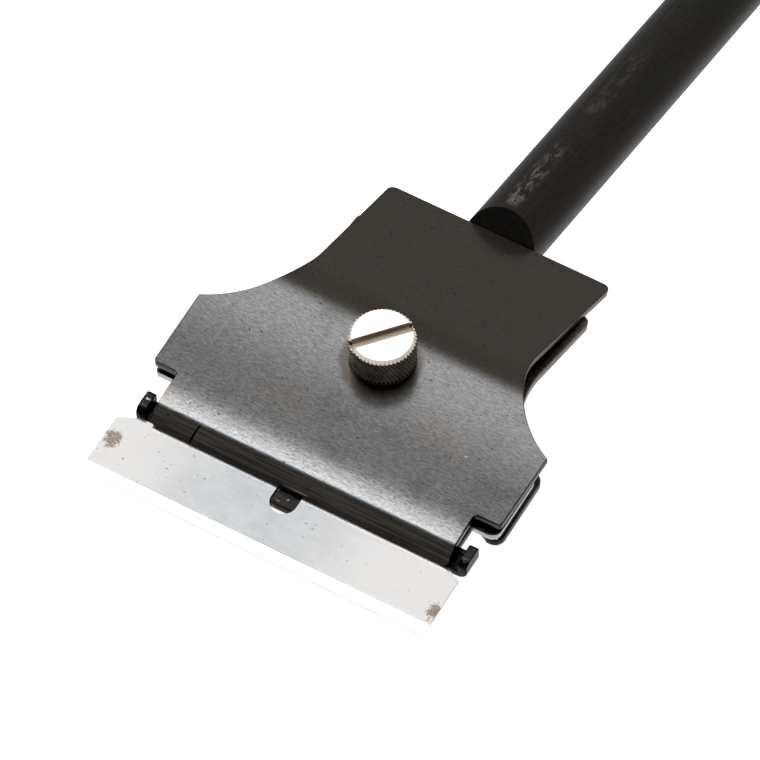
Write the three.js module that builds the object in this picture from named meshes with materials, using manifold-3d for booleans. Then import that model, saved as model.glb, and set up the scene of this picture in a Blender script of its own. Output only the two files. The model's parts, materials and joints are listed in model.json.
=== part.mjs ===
// Algae scraper for aquarium glass: a blade holder at the end of a long rod, with a grip at the other end.
// Millimetres, +Z up. +Y runs back along the rod from the blade to the grip, +X is to the right.
// The origin is under the middle of the whole tool, at the height of the grip's lowest point.
//
// Two frames are used inside:
//   tool frame: y = 0 at the blade's cutting edge, z = 0 on the rod's axis
//   seat frame: y along the sloping blade seat from the cutting edge, z square to the seat

import * as THREE from "three";
import { mergeVertices } from "three/addons/utils/BufferGeometryUtils.js";
import Module from "manifold-3d";

const wasm = await Module();
wasm.setup();

// ---- driving dimensions ----

const OVERALL_LENGTH = 460;
const GRIP_HALF_HEIGHT = 11;
const FIT_GAP = 0.05; // between plates, rivets and holes that touch

const SEAT_PITCH = THREE.MathUtils.degToRad(15.2); // the blade's slope against the rod
const EDGE_DROP = 5.8; // cutting edge below the rod's axis

const ROD_RADIUS = 4;
const ROD_FRONT = 27.6;
const ROD_FLAT_HEIGHT = 0.3;
const ROD_STEP = 48.1; // where the flat ends, measured on the axis
const ROD_STEP_SLOPE = 0.42; // the step leans back by this much per mm of height
const ROD_CHAMFER = 1.5;

const BASE_THICKNESS = 1;
const BASE_FLAT_TOP = 1.35;
const BASE_REAR = 43;
const BASE_REAR_HALF_WIDTH = 13.45;
const BASE_WAIST_HALF_WIDTH = 12.95;
const WING_HALF_WIDTH = 19.85;
const WING_FRONT = 14; // along the seat, like the tongue's front
const WING_EAR = { inner: 16.9, outer: 18.4, front: 13.05 }; // the right wing's corner reaches further forward
const WING_REAR = 21.25;
const TONGUE_FRONT = 6.25;
const TONGUE_HALF_WIDTH = 16.5;
const LUG = { inner: 17.85, front: 8.3, rear: 10.75, height: 1.5, nose: 1 };

const SPACER_THICKNESS = 0.9;
const SPACER = {
  halfWidth: 19.6,
  front: { left: 13.4, right: 12.95 },
  corner: { left: 0.4, right: 1 },
  sideEnd: 20.4,
  rear: 25.8,
  slotHalfWidth: 15.2,
  slotEnd: 19.5,
};

const CLAMP_THICKNESS = 0.9;
const CLAMP_TOP = 2.7; // clamp's top face above the blade seat
const CLAMP_REAR = { y: 48.3, z: 1.52 };
const CLAMP_RIDGE_Y = 27.7;
const CLAMP_REAR_HALF_WIDTH = 12.85;
const CLAMP_WAIST_HALF_WIDTH = 12.5;
const FLARE_START = 32.5; // the waist, where the rear sides begin to widen
const SHOULDER = { x: 19.95, y: 20.95 };
const NOTCH = { outer: 19.75, inner: 16.9, rear: 13.4 }; // rear is measured along the seat
const LIP_FACE = 7.85; // lip's front face behind the cutting edge
const LIP_RADIUS = 1.5;
const LIP_BOTTOM = 0.3;
const LIP_CORNER = 1; // rounding of the lip's two lower corners
const LIP_SLIT = { x: -12.5, width: 0.25, depth: 0.65, low: 0.2, high: 2.45, lean: 0.25 };

const BLADE = {
  offset: -0.9, // side play: the blade sits a little to the left
  thickness: 0.25,
  halfLength: 19.5,
  sideLength: 7.15,
  earDepth: 2,
  frontDepth: 8.15,
  tailHalfWidth: 14,
  depth: 19,
  bevel: 1.3,
  edgeThickness: 0.04,
  slotHalfWidth: 1.42,
  slotFront: 5.25,
};

const SCREW = {
  y: 24.7, // along the seat
  thread: 1.5,
  head: 3.45,
  headTop: 6.95,
  chamfer: 0.3,
  slotWidth: 0.68,
  slotDepth: 0.75,
  slotTurn: THREE.MathUtils.degToRad(49),
  tailEnd: -5.5,
  groove: 1.15,
};
const WASHER = { outer: 3.4, inner: 1.6, thickness: 0.5 };
const CLAMP_HOLE = 2.2;
const BUSH = { body: 2, flange: 2.2, bore: 1.56, bottom: -2.9, top: 0.95 };
const RING = { outer: 2.1, inner: 1.2, top: -4.55, thickness: 0.4, gap: 1.4 };

const BASE_RIVETS = { base_rivet_front: 31, base_rivet_rear: 38 };
const BASE_RIVET = { head: 2, headHeight: 0.45, shank: 1.2, sinkRadius: 2.1, sinkTop: -2.9, end: -3.4 };
const SPACER_RIVETS = {
  spacer_rivet_left_wing: [-17.4, 17.5],
  spacer_rivet_right_wing: [17.4, 17.5],
  spacer_rivet_left_bridge: [-8.5, 23],
  spacer_rivet_right_bridge: [8.5, 23],
};
const SPACER_RIVET = { head: 1.3, headHeight: 0.4, shank: 0.8 };

const FERRULE = { start: 322, end: 334, rod: 5.4, grip: 8.2, bore: 4.05 };
const GRIP = { start: 334.3, end: 438, ovality: 1.14, recess: 6.3, recessStart: 428 };
const PIN = { radius: 1, y: 328.5, halfLength: 5.6 };
const TAIL = { start: 427.5, radius: 2.5, end: 435 };
const NUT_WASHER = { radius: 5.6, thickness: 1, bore: 2.6 };
const NUT = { radius: 4.6, thickness: 3.6, bore: 2.56 };
const CAP = {
  plugStart: 433.9,
  plugRadius: 6.2,
  plugBore: 5.2,
  start: 438.3,
  flange: 9.4,
  waist: 446,
  eyeY: 452.5,
  eyeRadius: 7.5,
  eyeHole: 3.6,
  eyeHalfThickness: 2.6,
};

// ---- colours ----

const STEEL_DARK = { color: 0x3a3734, roughness: 0.38, metalness: 0.9 };
const STEEL_ROD = { color: 0x26241f, roughness: 0.5, metalness: 0.8 };
const STEEL_BLADE = { color: 0xcfd0d2, roughness: 0.25, metalness: 1 };
const NICKEL = { color: 0xd8d2c6, roughness: 0.2, metalness: 1 };
const ZINC = { color: 0x9a9c9e, roughness: 0.35, metalness: 1 };
const GRIP_PLASTIC = { color: 0x1b1c1e, roughness: 0.6, metalness: 0 };
const BRASS = { color: 0xb08d4a, roughness: 0.35, metalness: 1 };

// ---- solids ----

const QUARTER = Math.PI / 2;
const ARC_STEP = Math.PI / 12; // largest turn between two points of a rounded corner
const REACH = 20; // cutting shapes run this far past the sheets they cut

function toManifold(geometry) {
  const bare = geometry.clone();
  bare.deleteAttribute("normal");
  bare.deleteAttribute("uv");
  const merged = mergeVertices(bare, 1e-4);
  const mesh = new wasm.Mesh({
    numProp: 3,
    vertProperties: new Float32Array(merged.attributes.position.array),
    triVerts: new Uint32Array(merged.index.array),
  });
  return new wasm.Manifold(mesh);
}

function toGeometry(solid) {
  const mesh = solid.getMesh();
  const geometry = new THREE.BufferGeometry();
  geometry.setAttribute("position", new THREE.BufferAttribute(new Float32Array(mesh.vertProperties), 3));
  geometry.setIndex(new THREE.BufferAttribute(new Uint32Array(mesh.triVerts), 1));
  geometry.computeVertexNormals();
  return geometry;
}

const join = (first, ...rest) => rest.reduce((all, next) => all.add(next), first);
const cut = (first, ...rest) => rest.reduce((left, next) => left.subtract(next), first);

// A closed outline from corners [a, b, radius]: corners with a radius become arcs.
function rounded(corners) {
  const count = corners.length;
  const points = [];
  corners.forEach(([a, b, radius = 0], i) => {
    const here = new THREE.Vector2(a, b);
    if (!radius) {
      points.push(here);
      return;
    }
    const before = new THREE.Vector2(...corners[(i + count - 1) % count].slice(0, 2));
    const after = new THREE.Vector2(...corners[(i + 1) % count].slice(0, 2));
    points.push(...filletArc(before, here, after, radius));
  });
  return points;
}

// The arc of a radius that joins the lines before-here and here-after.
function filletArc(before, here, after, radius) {
  const toBefore = before.clone().sub(here).normalize();
  const toAfter = after.clone().sub(here).normalize();
  const half = Math.acos(THREE.MathUtils.clamp(toBefore.dot(toAfter), -1, 1)) / 2;
  const setback = radius / Math.tan(half);
  const middle = toBefore.clone().add(toAfter).normalize().multiplyScalar(radius / Math.sin(half));
  const centre = here.clone().add(middle);
  const start = here.clone().addScaledVector(toBefore, setback).sub(centre);
  const end = here.clone().addScaledVector(toAfter, setback).sub(centre);
  const turn = Math.atan2(start.x * end.y - start.y * end.x, start.dot(end));
  const steps = Math.max(1, Math.ceil(Math.abs(turn) / ARC_STEP));
  return Array.from({ length: steps + 1 }, (_, k) =>
    start.clone().rotateAround(new THREE.Vector2(), (turn * k) / steps).add(centre),
  );
}

// A right half outline, front to back, with its mirror image on the left.
function mirrored(rightHalf) {
  const left = rightHalf.map(([x, ...rest]) => [-x, ...rest]).reverse();
  return rounded([...rightHalf, ...left]);
}

// The concave curve from a straight side at x = sideX to a pointed shoulder, back to front.
function flare(sideX, startY, tipX, tipY) {
  const reach = tipX - sideX;
  const radius = (reach ** 2 + (tipY - startY) ** 2) / (2 * reach);
  const sweep = Math.asin((startY - tipY) / radius);
  const steps = 8;
  return Array.from({ length: steps + 1 }, (_, k) => {
    const angle = (sweep * k) / steps;
    return [sideX + radius * (1 - Math.cos(angle)), startY - radius * Math.sin(angle)];
  });
}

// A prism of an outline in x and y, between two heights.
function prism(points, low, high) {
  const geometry = new THREE.ExtrudeGeometry(new THREE.Shape(points), { depth: high - low, bevelEnabled: false });
  return toManifold(geometry.translate(0, 0, low));
}

// A prism of an outline in y and z, between two x values.
function sidePrism(points, left, right) {
  const geometry = new THREE.ExtrudeGeometry(new THREE.Shape(points), { depth: right - left, bevelEnabled: false });
  geometry.translate(0, 0, left);
  geometry.applyMatrix4(new THREE.Matrix4().set(0, 0, 1, 0, 1, 0, 0, 0, 0, 1, 0, 0, 0, 0, 0, 1));
  return toManifold(geometry);
}

// A round solid about the z axis from a profile of [radius, height] points.
function turned(profile, segments = 32) {
  const points = profile.map(([radius, height]) => new THREE.Vector2(radius, height));
  const geometry = new THREE.LatheGeometry(points, segments);
  return toManifold(geometry.rotateX(QUARTER));
}

function cylinder(radius, low, high, segments = 32) {
  return turned([[0, low], [radius, low], [radius, high], [0, high]], segments);
}

function tube(outer, inner, low, high, segments = 32) {
  return turned([[inner, low], [outer, low], [outer, high], [inner, high], [inner, low]], segments);
}

function block(x0, x1, y0, y1, z0, z1) {
  return prism([[x0, y0], [x1, y0], [x1, y1], [x0, y1]].map(([x, y]) => new THREE.Vector2(x, y)), z0, z1);
}

// Turns a solid about z into one about y, with its heights running along +Y.
const alongY = (solid) => solid.rotate([-90, 0, 0]);

// A strip of even thickness under an open path of [y, z] points, as a closed outline.
function strip(path, thickness) {
  const points = path.map(([y, z]) => new THREE.Vector2(y, z));
  const under = points.map((point, i) => {
    const into = point.clone().sub(points[Math.max(i - 1, 0)]).normalize();
    const out = points[Math.min(i + 1, points.length - 1)].clone().sub(point).normalize();
    const run = i === 0 ? out : i === points.length - 1 ? into : into.clone().add(out).normalize();
    const along = i === 0 ? out : into;
    return point.clone().add(new THREE.Vector2(run.y, -run.x).multiplyScalar(thickness / run.dot(along)));
  });
  return [...points, ...under.reverse()];
}

// An open path with rounded corners: the ends stay where they are.
function bentPath(corners) {
  return corners.flatMap(([y, z, radius = 0], i) => {
    if (!radius) return [[y, z]];
    const [before, here, after] = corners.slice(i - 1, i + 2).map(([a, b]) => new THREE.Vector2(a, b));
    return filletArc(before, here, after, radius).map((point) => [point.x, point.y]);
  });
}

// A point given in the seat frame, as [y, z] of the tool frame.
function fromSeat(along, above) {
  const cos = Math.cos(SEAT_PITCH);
  const sin = Math.sin(SEAT_PITCH);
  return [along * cos - above * sin, along * sin + above * cos - EDGE_DROP];
}

const toTool = (solid) => solid.rotate([THREE.MathUtils.radToDeg(SEAT_PITCH), 0, 0]).translate([0, 0, -EDGE_DROP]);

// ---- assembly ----

const scraper = new THREE.Group();
const tool = new THREE.Group();
tool.position.set(0, -OVERALL_LENGTH / 2, GRIP_HALF_HEIGHT);
scraper.add(tool);

const seat = new THREE.Group();
seat.position.z = -EDGE_DROP;
seat.rotation.x = SEAT_PITCH;
tool.add(seat);

function addNode(parent, name, solid, finish) {
  const mesh = new THREE.Mesh(toGeometry(solid), new THREE.MeshStandardMaterial(finish));
  mesh.name = name;
  parent.add(mesh);
  return mesh;
}

// ---- head ----

function rod() {
  const bar = alongY(
    turned([
      [0, ROD_FRONT],
      [ROD_RADIUS - ROD_CHAMFER, ROD_FRONT],
      [ROD_RADIUS, ROD_FRONT + ROD_CHAMFER],
      [ROD_RADIUS, TAIL.start],
      [TAIL.radius, TAIL.start],
      [TAIL.radius, TAIL.end],
      [0, TAIL.end],
    ]),
  );
  const stepAt = (z) => ROD_STEP + ROD_STEP_SLOPE * z;
  const clear = 2 * ROD_RADIUS;
  const milled = [
    [ROD_FRONT - clear, ROD_FLAT_HEIGHT],
    [stepAt(ROD_FLAT_HEIGHT), ROD_FLAT_HEIGHT],
    [stepAt(clear), clear],
    [ROD_FRONT - clear, clear],
  ];
  const rivetHoles = Object.values(BASE_RIVETS).map((y) =>
    join(
      cylinder(BASE_RIVET.shank + FIT_GAP, -clear, clear, 24),
      cylinder(BASE_RIVET.sinkRadius, -clear, BASE_RIVET.sinkTop, 24),
    ).translate([0, y, 0]),
  );
  const pinHole = cylinder(PIN.radius + FIT_GAP, -clear, clear, 16).rotate([0, 90, 0]).translate([0, PIN.y, 0]);
  const flat = sidePrism(milled.map(([y, z]) => new THREE.Vector2(y, z)), -clear, clear);
  return cut(bar, flat, pinHole, ...rivetHoles);
}

// One blade lug: an arm of the base sheet, bent up at its outer end.
function lug(side) {
  const outer = LUG.inner + BASE_THICKNESS;
  const section = rounded([
    [TONGUE_HALF_WIDTH - 1, -BASE_THICKNESS],
    [outer, -BASE_THICKNESS, BASE_THICKNESS],
    [outer, LUG.height, 0.15],
    [LUG.inner, LUG.height, 0.15],
    [LUG.inner, 0],
    [TONGUE_HALF_WIDTH - 1, 0],
  ]).map((point) => new THREE.Vector2(point.x * side, point.y));
  const bent = prism(section, -LUG.rear, -LUG.front).rotate([90, 0, 0]);
  const silhouette = rounded([
    [LUG.front, -BASE_THICKNESS],
    [LUG.rear, -BASE_THICKNESS],
    [LUG.rear, LUG.height, 0.4],
    [LUG.front, LUG.height, LUG.nose],
  ]);
  return toTool(bent.intersect(sidePrism(silhouette, -outer - 1, outer + 1)));
}

function basePlate() {
  const bend = (BASE_FLAT_TOP + EDGE_DROP) / Math.tan(SEAT_PITCH);
  const path = bentPath([
    fromSeat(0, 0),
    [bend, BASE_FLAT_TOP, 3],
    [BASE_REAR + 5, BASE_FLAT_TOP],
  ]);
  const band = sidePrism(strip(path, BASE_THICKNESS), -WING_HALF_WIDTH, WING_HALF_WIDTH);
  const frontOutline = mirrored([
    [TONGUE_HALF_WIDTH, TONGUE_FRONT, 0.6],
    [TONGUE_HALF_WIDTH, WING_FRONT, 0.5],
    [WING_HALF_WIDTH, WING_FRONT, 1.2],
    [WING_HALF_WIDTH, BASE_REAR + REACH],
  ]);
  const earOutline = rounded([
    [WING_EAR.inner, WING_FRONT],
    [WING_EAR.outer, WING_EAR.front, 0.3],
    [WING_HALF_WIDTH, WING_EAR.front, 1.1],
    [WING_HALF_WIDTH, WING_REAR],
    [WING_EAR.inner, WING_REAR],
  ]);
  const front = join(prism(frontOutline, -REACH, REACH), prism(earOutline, -REACH, REACH));
  const rearOutline = mirrored([
    [WING_HALF_WIDTH, 0],
    [WING_HALF_WIDTH, WING_REAR, 1.1],
    ...flare(BASE_WAIST_HALF_WIDTH, FLARE_START, WING_HALF_WIDTH - 1.5, WING_REAR).reverse(),
    [BASE_REAR_HALF_WIDTH, BASE_REAR, 1],
  ]);
  const sheet = band.intersect(toTool(front)).intersect(prism(rearOutline, -REACH, REACH));
  const bushHole = toTool(cylinder(BUSH.body + FIT_GAP, -REACH, REACH).translate([0, SCREW.y, 0]));
  const holes = Object.values(BASE_RIVETS).map((y) =>
    cylinder(BASE_RIVET.shank + FIT_GAP, -REACH, REACH, 24).translate([0, y, 0]),
  );
  return cut(join(sheet, lug(1), lug(-1)), bushHole, toTool(spacerRivetHoles()), ...holes);
}

function spacerRivetHoles() {
  return join(
    ...Object.values(SPACER_RIVETS).map(([x, y]) =>
      cylinder(SPACER_RIVET.shank + FIT_GAP, -REACH, REACH, 16).translate([x, y, 0]),
    ),
  );
}

function spacerPlate() {
  const { halfWidth, front, corner, sideEnd, rear, slotHalfWidth, slotEnd } = SPACER;
  const half = (side, sideFront, sideCorner) => [
    [side * slotHalfWidth, slotEnd, 0.8],
    [side * slotHalfWidth, sideFront, 0.3],
    [side * halfWidth, sideFront, sideCorner],
    [side * halfWidth, sideEnd, 0.4],
    [side * (slotHalfWidth - 2), rear, 1.5],
  ];
  const outline = rounded([...half(1, front.right, corner.right), ...half(-1, front.left, corner.left).reverse()]);
  const sheet = prism(outline, FIT_GAP, FIT_GAP + SPACER_THICKNESS);
  const bushHole = cylinder(BUSH.body + FIT_GAP, -REACH, REACH).translate([0, SCREW.y, 0]);
  return cut(sheet, bushHole, spacerRivetHoles());
}

// The clamp's side view: a flat rear part, a bend, a flat front part and the rolled lip.
function clampPath() {
  const ridge = (CLAMP_TOP / Math.cos(SEAT_PITCH) + CLAMP_RIDGE_Y * Math.tan(SEAT_PITCH)) - EDGE_DROP;
  return bentPath([
    fromSeat(LIP_FACE, LIP_BOTTOM),
    [...fromSeat(LIP_FACE, CLAMP_TOP), LIP_RADIUS],
    [CLAMP_RIDGE_Y, ridge, 4],
    [CLAMP_REAR.y, CLAMP_REAR.z],
  ]);
}

function clampPlate() {
  const band = sidePrism(strip(clampPath(), CLAMP_THICKNESS), -SHOULDER.x, SHOULDER.x);
  const frontOutline = mirrored([
    [NOTCH.inner, 0],
    [NOTCH.inner, NOTCH.rear, 0.5],
    [NOTCH.outer, NOTCH.rear, 0.4],
    [SHOULDER.x, SHOULDER.y],
    [SHOULDER.x, CLAMP_REAR.y + REACH],
  ]);
  const rearOutline = mirrored([
    [SHOULDER.x + 1, 0],
    [SHOULDER.x + 1, SHOULDER.y - 1],
    ...flare(CLAMP_WAIST_HALF_WIDTH, FLARE_START, SHOULDER.x, SHOULDER.y).reverse(),
    [CLAMP_REAR_HALF_WIDTH, CLAMP_REAR.y, 0.8],
  ]);
  const sheet = band
    .intersect(toTool(prism(frontOutline, -REACH, REACH)))
    .intersect(prism(rearOutline, -REACH, REACH));
  const screwHole = toTool(cylinder(CLAMP_HOLE, 0, REACH).translate([0, SCREW.y, 0]));
  return cut(sheet, screwHole, lipSlit(), lipCorner(1), lipCorner(-1));
}

// What is cut away to round a lower corner of the lip.
function lipCorner(side) {
  const centre = [NOTCH.inner - LIP_CORNER, LIP_BOTTOM + LIP_CORNER];
  const square = block(centre[0], NOTCH.inner + 1, 0, LIP_FACE + CLAMP_THICKNESS, LIP_BOTTOM - 1, centre[1]);
  const round = alongY(cylinder(LIP_CORNER, -1, NOTCH.rear)).translate([centre[0], 0, centre[1]]);
  return toTool(cut(square, round).scale([side, 1, 1]));
}

// A thin scribed slit in the lip's front face.
function lipSlit() {
  const { x, width, depth, low, high, lean } = LIP_SLIT;
  const slit = block(-width / 2, width / 2, LIP_FACE - 1, LIP_FACE + depth, low, high);
  return toTool(slit.rotate([0, THREE.MathUtils.radToDeg(lean), 0]).translate([x, 0, 0]));
}

function bladeOutline() {
  const { halfLength, sideLength, earDepth, frontDepth, tailHalfWidth, depth, slotHalfWidth, slotFront } = BLADE;
  return mirrored([
    [slotHalfWidth, slotFront, slotHalfWidth * 0.98],
    [slotHalfWidth, depth],
    [tailHalfWidth, depth, 0.6],
    [tailHalfWidth, frontDepth, 0.5],
    [halfLength - earDepth, frontDepth, 0.6],
    [halfLength - earDepth * 0.35, sideLength + 0.3, 0.5],
    [halfLength, sideLength],
    [halfLength, 0],
  ].reverse());
}

function blade() {
  const { thickness, edgeThickness, bevel, depth, halfLength } = BLADE;
  const middle = thickness / 2;
  const lowEdge = middle - edgeThickness / 2;
  const highEdge = middle + edgeThickness / 2;
  const section = [
    [0, lowEdge],
    [bevel, 0],
    [depth + 1, 0],
    [depth + 1, thickness],
    [bevel, thickness],
    [0, highEdge],
  ].map(([y, z]) => new THREE.Vector2(y, z + FIT_GAP / 2));
  const ground = sidePrism(section, -halfLength - 1, halfLength + 1);
  return ground.intersect(prism(bladeOutline(), -1, 1)).translate([BLADE.offset, 0, 0]);
}

function thumbScrew() {
  const { thread, head, headTop, chamfer, slotWidth, slotDepth, tailEnd, groove } = SCREW;
  const headBottom = CLAMP_TOP + WASHER.thickness + 2 * FIT_GAP;
  const grooveTop = RING.top + FIT_GAP;
  const grooveBottom = RING.top - RING.thickness - FIT_GAP;
  const body = turned([
    [0, tailEnd],
    [thread - chamfer, tailEnd],
    [thread, tailEnd + chamfer],
    [thread, grooveBottom],
    [groove, grooveBottom],
    [groove, grooveTop],
    [thread, grooveTop],
    [thread, headBottom],
    [head - chamfer / 2, headBottom],
    [head, headBottom + chamfer / 2],
    [head, headTop - chamfer],
    [head - chamfer, headTop],
    [0, headTop],
  ]);
  const slot = block(-head - 1, head + 1, -slotWidth / 2, slotWidth / 2, headTop - slotDepth, headTop + 1);
  const turn = THREE.MathUtils.radToDeg(SCREW.slotTurn);
  return cut(body, slot.rotate([0, 0, turn])).translate([0, SCREW.y, 0]);
}

function screwWasher() {
  const low = CLAMP_TOP + FIT_GAP;
  return tube(WASHER.outer, WASHER.inner, low, low + WASHER.thickness).translate([0, SCREW.y, 0]);
}

function threadedBush() {
  const shoulder = -BASE_THICKNESS - FIT_GAP;
  return turned([
    [BUSH.bore, BUSH.bottom],
    [BUSH.flange, BUSH.bottom],
    [BUSH.flange, shoulder],
    [BUSH.body, shoulder],
    [BUSH.body, BUSH.top],
    [BUSH.bore, BUSH.top],
    [BUSH.bore, BUSH.bottom],
  ]).translate([0, SCREW.y, 0]);
}

// A snap ring with an open mouth, on the screw's tail.
function retainingRing() {
  const low = RING.top - RING.thickness;
  const mouth = block(-RING.gap / 2, RING.gap / 2, 0, RING.outer + 1, low - 1, RING.top + 1);
  return cut(tube(RING.outer, RING.inner, low, RING.top), mouth).translate([0, SCREW.y, 0]);
}

function spacerRivet([x, y]) {
  const { head, headHeight, shank } = SPACER_RIVET;
  const under = -BASE_THICKNESS - FIT_GAP;
  const over = SPACER_THICKNESS + 2 * FIT_GAP;
  return turned([
    [0, under - headHeight],
    [head * 0.7, under - headHeight],
    [head, under - headHeight / 3],
    [head, under],
    [shank, under],
    [shank, over],
    [head, over],
    [head, over + headHeight / 3],
    [head * 0.7, over + headHeight],
    [0, over + headHeight],
  ], 20).translate([x, y, 0]);
}

function baseRivet(y) {
  const { head, headHeight, shank, sinkRadius, sinkTop, end } = BASE_RIVET;
  const over = BASE_FLAT_TOP + FIT_GAP;
  const closing = sinkRadius - 2 * FIT_GAP;
  return turned([
    [0, end],
    [closing, end],
    [closing, sinkTop - FIT_GAP],
    [shank, sinkTop - FIT_GAP],
    [shank, over],
    [head, over],
    [head, over + headHeight / 3],
    [head * 0.7, over + headHeight],
    [0, over + headHeight],
  ], 24).translate([0, y, 0]);
}

// ---- grip ----

function gripFerrule() {
  const { start, end, rod: small, grip: large, bore } = FERRULE;
  const body = turned([
    [bore, start],
    [small - 0.4, start],
    [small, start + 0.4],
    [small + 0.4, end - 5],
    [large, end - 3.5],
    [large, end],
    [bore, end],
    [bore, start],
  ]);
  const pinHole = cylinder(PIN.radius + FIT_GAP, -20, 20, 16).rotate([0, 90, 0]).translate([0, 0, PIN.y]);
  return alongY(cut(body, pinHole));
}

function gripPin() {
  return cylinder(PIN.radius, -PIN.halfLength, PIN.halfLength, 16).rotate([0, 90, 0]).translate([0, PIN.y, 0]);
}

// The grip's radius along its length: a guard, a ribbed waist, a palm swell and a tail.
function gripProfile() {
  const length = GRIP.end - GRIP.start;
  const outline = new THREE.SplineCurve([
    new THREE.Vector2(8.2, 0),
    new THREE.Vector2(10.6, 6),
    new THREE.Vector2(9, 22),
    new THREE.Vector2(GRIP_HALF_HEIGHT, 62),
    new THREE.Vector2(10.2, 88),
    new THREE.Vector2(8.6, length),
  ]);
  const ribs = { first: 26, pitch: 7, count: 6, depth: 0.7, width: 2.4 };
  const points = outline.getPoints(18).map((point) => [point.x, point.y]);
  const radiusAt = (y) => {
    const next = points.findIndex((point) => point[1] >= y);
    const [r0, y0] = points[next - 1];
    const [r1, y1] = points[next];
    return r0 + ((r1 - r0) * (y - y0)) / (y1 - y0);
  };
  const grooves = Array.from({ length: ribs.count }, (_, k) => ribs.first + k * ribs.pitch);
  const ribEnd = ribs.first + ribs.count * ribs.pitch;
  const smooth = points.filter((point) => point[1] < ribs.first - 1 || point[1] > ribEnd);
  const ribbed = grooves.flatMap((y) => [
    [radiusAt(y), y],
    [radiusAt(y) - ribs.depth, y + ribs.width / 4],
    [radiusAt(y) - ribs.depth, y + (3 * ribs.width) / 4],
    [radiusAt(y + ribs.width), y + ribs.width],
  ]);
  return [...smooth, ...ribbed].sort((a, b) => a[1] - b[1]).map(([radius, y]) => [radius, y + GRIP.start]);
}

function grip() {
  const profile = gripProfile();
  const body = turned([[0, GRIP.start], ...profile, [0, GRIP.end]], 24).scale([GRIP.ovality, 1, 1]);
  const rodBore = cylinder(FERRULE.bore, GRIP.start - 1, GRIP.end + 1, 24);
  const recess = cylinder(GRIP.recess, GRIP.recessStart, GRIP.end + 1, 24);
  return alongY(cut(body, rodBore, recess));
}

function nutWasher() {
  const { radius, thickness, bore } = NUT_WASHER;
  const low = GRIP.recessStart + FIT_GAP;
  return alongY(tube(radius, bore, low, low + thickness));
}

function endNut() {
  const low = GRIP.recessStart + NUT_WASHER.thickness + 2 * FIT_GAP;
  return alongY(cut(cylinder(NUT.radius, low, low + NUT.thickness, 6), cylinder(NUT.bore, low - 1, low + 9, 24)));
}

function endCap() {
  const { plugStart, plugRadius, plugBore, start, flange, waist, eyeY, eyeRadius, eyeHole, eyeHalfThickness } = CAP;
  const dome = turned([
    [0, start],
    [flange - 0.5, start],
    [flange, start + 0.8],
    [flange * 0.93, start + 3],
    [flange * 0.7, waist - 2],
    [flange * 0.35, waist],
    [0, waist],
  ]);
  const plug = cylinder(plugRadius, plugStart, start + 0.5);
  const hollow = cylinder(plugBore, plugStart - 1, start + 0.3);
  const shell = alongY(join(dome, plug));
  const eye = cylinder(eyeRadius, -eyeHalfThickness, eyeHalfThickness).translate([0, eyeY, 0]);
  const neck = block(-eyeRadius * 0.8, eyeRadius * 0.8, start + 1, eyeY, -eyeHalfThickness, eyeHalfThickness);
  const hole = cylinder(eyeHole, -10, 10).translate([0, eyeY, 0]);
  return cut(join(shell, eye, neck), alongY(hollow), hole);
}

addNode(tool, "rod", rod(), STEEL_ROD);
addNode(tool, "base_plate", basePlate(), STEEL_DARK);
addNode(tool, "clamp_plate", clampPlate(), STEEL_DARK);
addNode(seat, "spacer_plate", spacerPlate(), STEEL_DARK);
addNode(seat, "blade", blade(), STEEL_BLADE);
addNode(seat, "thumb_screw", thumbScrew(), NICKEL);
addNode(seat, "screw_washer", screwWasher(), STEEL_ROD);
addNode(seat, "threaded_bush", threadedBush(), BRASS);
addNode(seat, "retaining_ring", retainingRing(), ZINC);
Object.entries(SPACER_RIVETS).forEach(([name, place]) => addNode(seat, name, spacerRivet(place), ZINC));
Object.entries(BASE_RIVETS).forEach(([name, y]) => addNode(tool, name, baseRivet(y), ZINC));
addNode(tool, "grip_ferrule", gripFerrule(), ZINC);
addNode(tool, "grip_pin", gripPin(), ZINC);
addNode(tool, "grip", grip(), GRIP_PLASTIC);
addNode(tool, "nut_washer", nutWasher(), ZINC);
addNode(tool, "end_nut", endNut(), ZINC);
addNode(tool, "end_cap", endCap(), GRIP_PLASTIC);

export default scraper;
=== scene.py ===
"""The looks of the algae scraper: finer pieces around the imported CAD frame, materials, light and camera.

Pieces are drawn in millimetres, in one of two frames, and placed in the row frame in metres:
  tool: y = 0 at the blade's cutting edge, z = 0 on the rod's axis
  seat: y along the sloping blade seat from the cutting edge, z square to it
"""

import json
import math

import bmesh
import bpy
from mathutils import Matrix, Vector

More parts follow.
